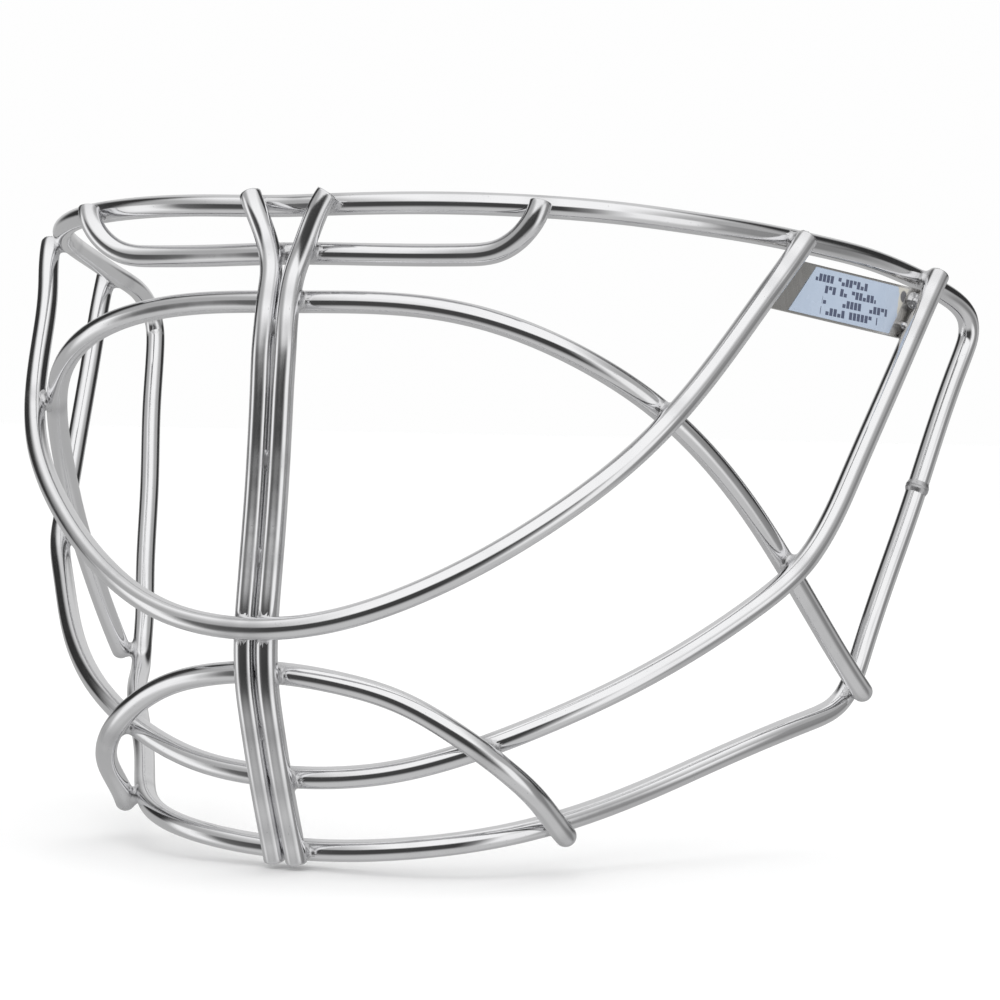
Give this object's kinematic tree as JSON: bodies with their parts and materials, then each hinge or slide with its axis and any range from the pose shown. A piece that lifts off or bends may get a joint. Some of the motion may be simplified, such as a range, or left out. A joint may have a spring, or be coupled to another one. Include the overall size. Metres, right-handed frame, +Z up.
{
  "type": "goalie mask wire cage",
  "caption": "Welded steel wire face cage for an ice hockey goalie mask: bowed perimeter frame, eye openings, twin centre bars, chin arch and a small label plate.",
  "frame": {"origin": "centre of the top bar's centreline on the plane of symmetry, where the cage seats under the helmet's brow", "axes": "+X to the wearer's left and across the plane of symmetry, +Y back towards the face, +Z up"},
  "size_m": [0.2266, 0.1497, 0.1457],
  "materials": {
    "plated_wire": "bright nickel-chrome plating",
    "weld_metal": "plated weld metal, slightly rough",
    "plate_steel": "brushed, plated sheet",
    "label_film": "glossy printed film"
  },
  "bodies": {
    "root": {"perimeter_frame": "plated_wire", "centre_bar_left": "plated_wire", "centre_bar_right": "plated_wire", "visor_bar": "plated_wire", "upper_eye_arch": "plated_wire", "lower_eye_loop": "plated_wire", "outer_loop": "plated_wire", "chin_arch": "plated_wire", "welds_top_bar": "weld_metal", "welds_side_bars": "weld_metal", "welds_chin_bar": "weld_metal", "welds_visor_bar": "weld_metal", "welds_upper_arch": "weld_metal", "welds_eye_loop": "weld_metal", "welds_outer_loop": "weld_metal", "welds_chin_arch": "weld_metal", "welds_centre_pair": "weld_metal", "welds_label_plate": "weld_metal", "butt_weld_bead": "weld_metal", "label_plate": "plate_steel", "label": "label_film"}
  },
  "joints": []
}
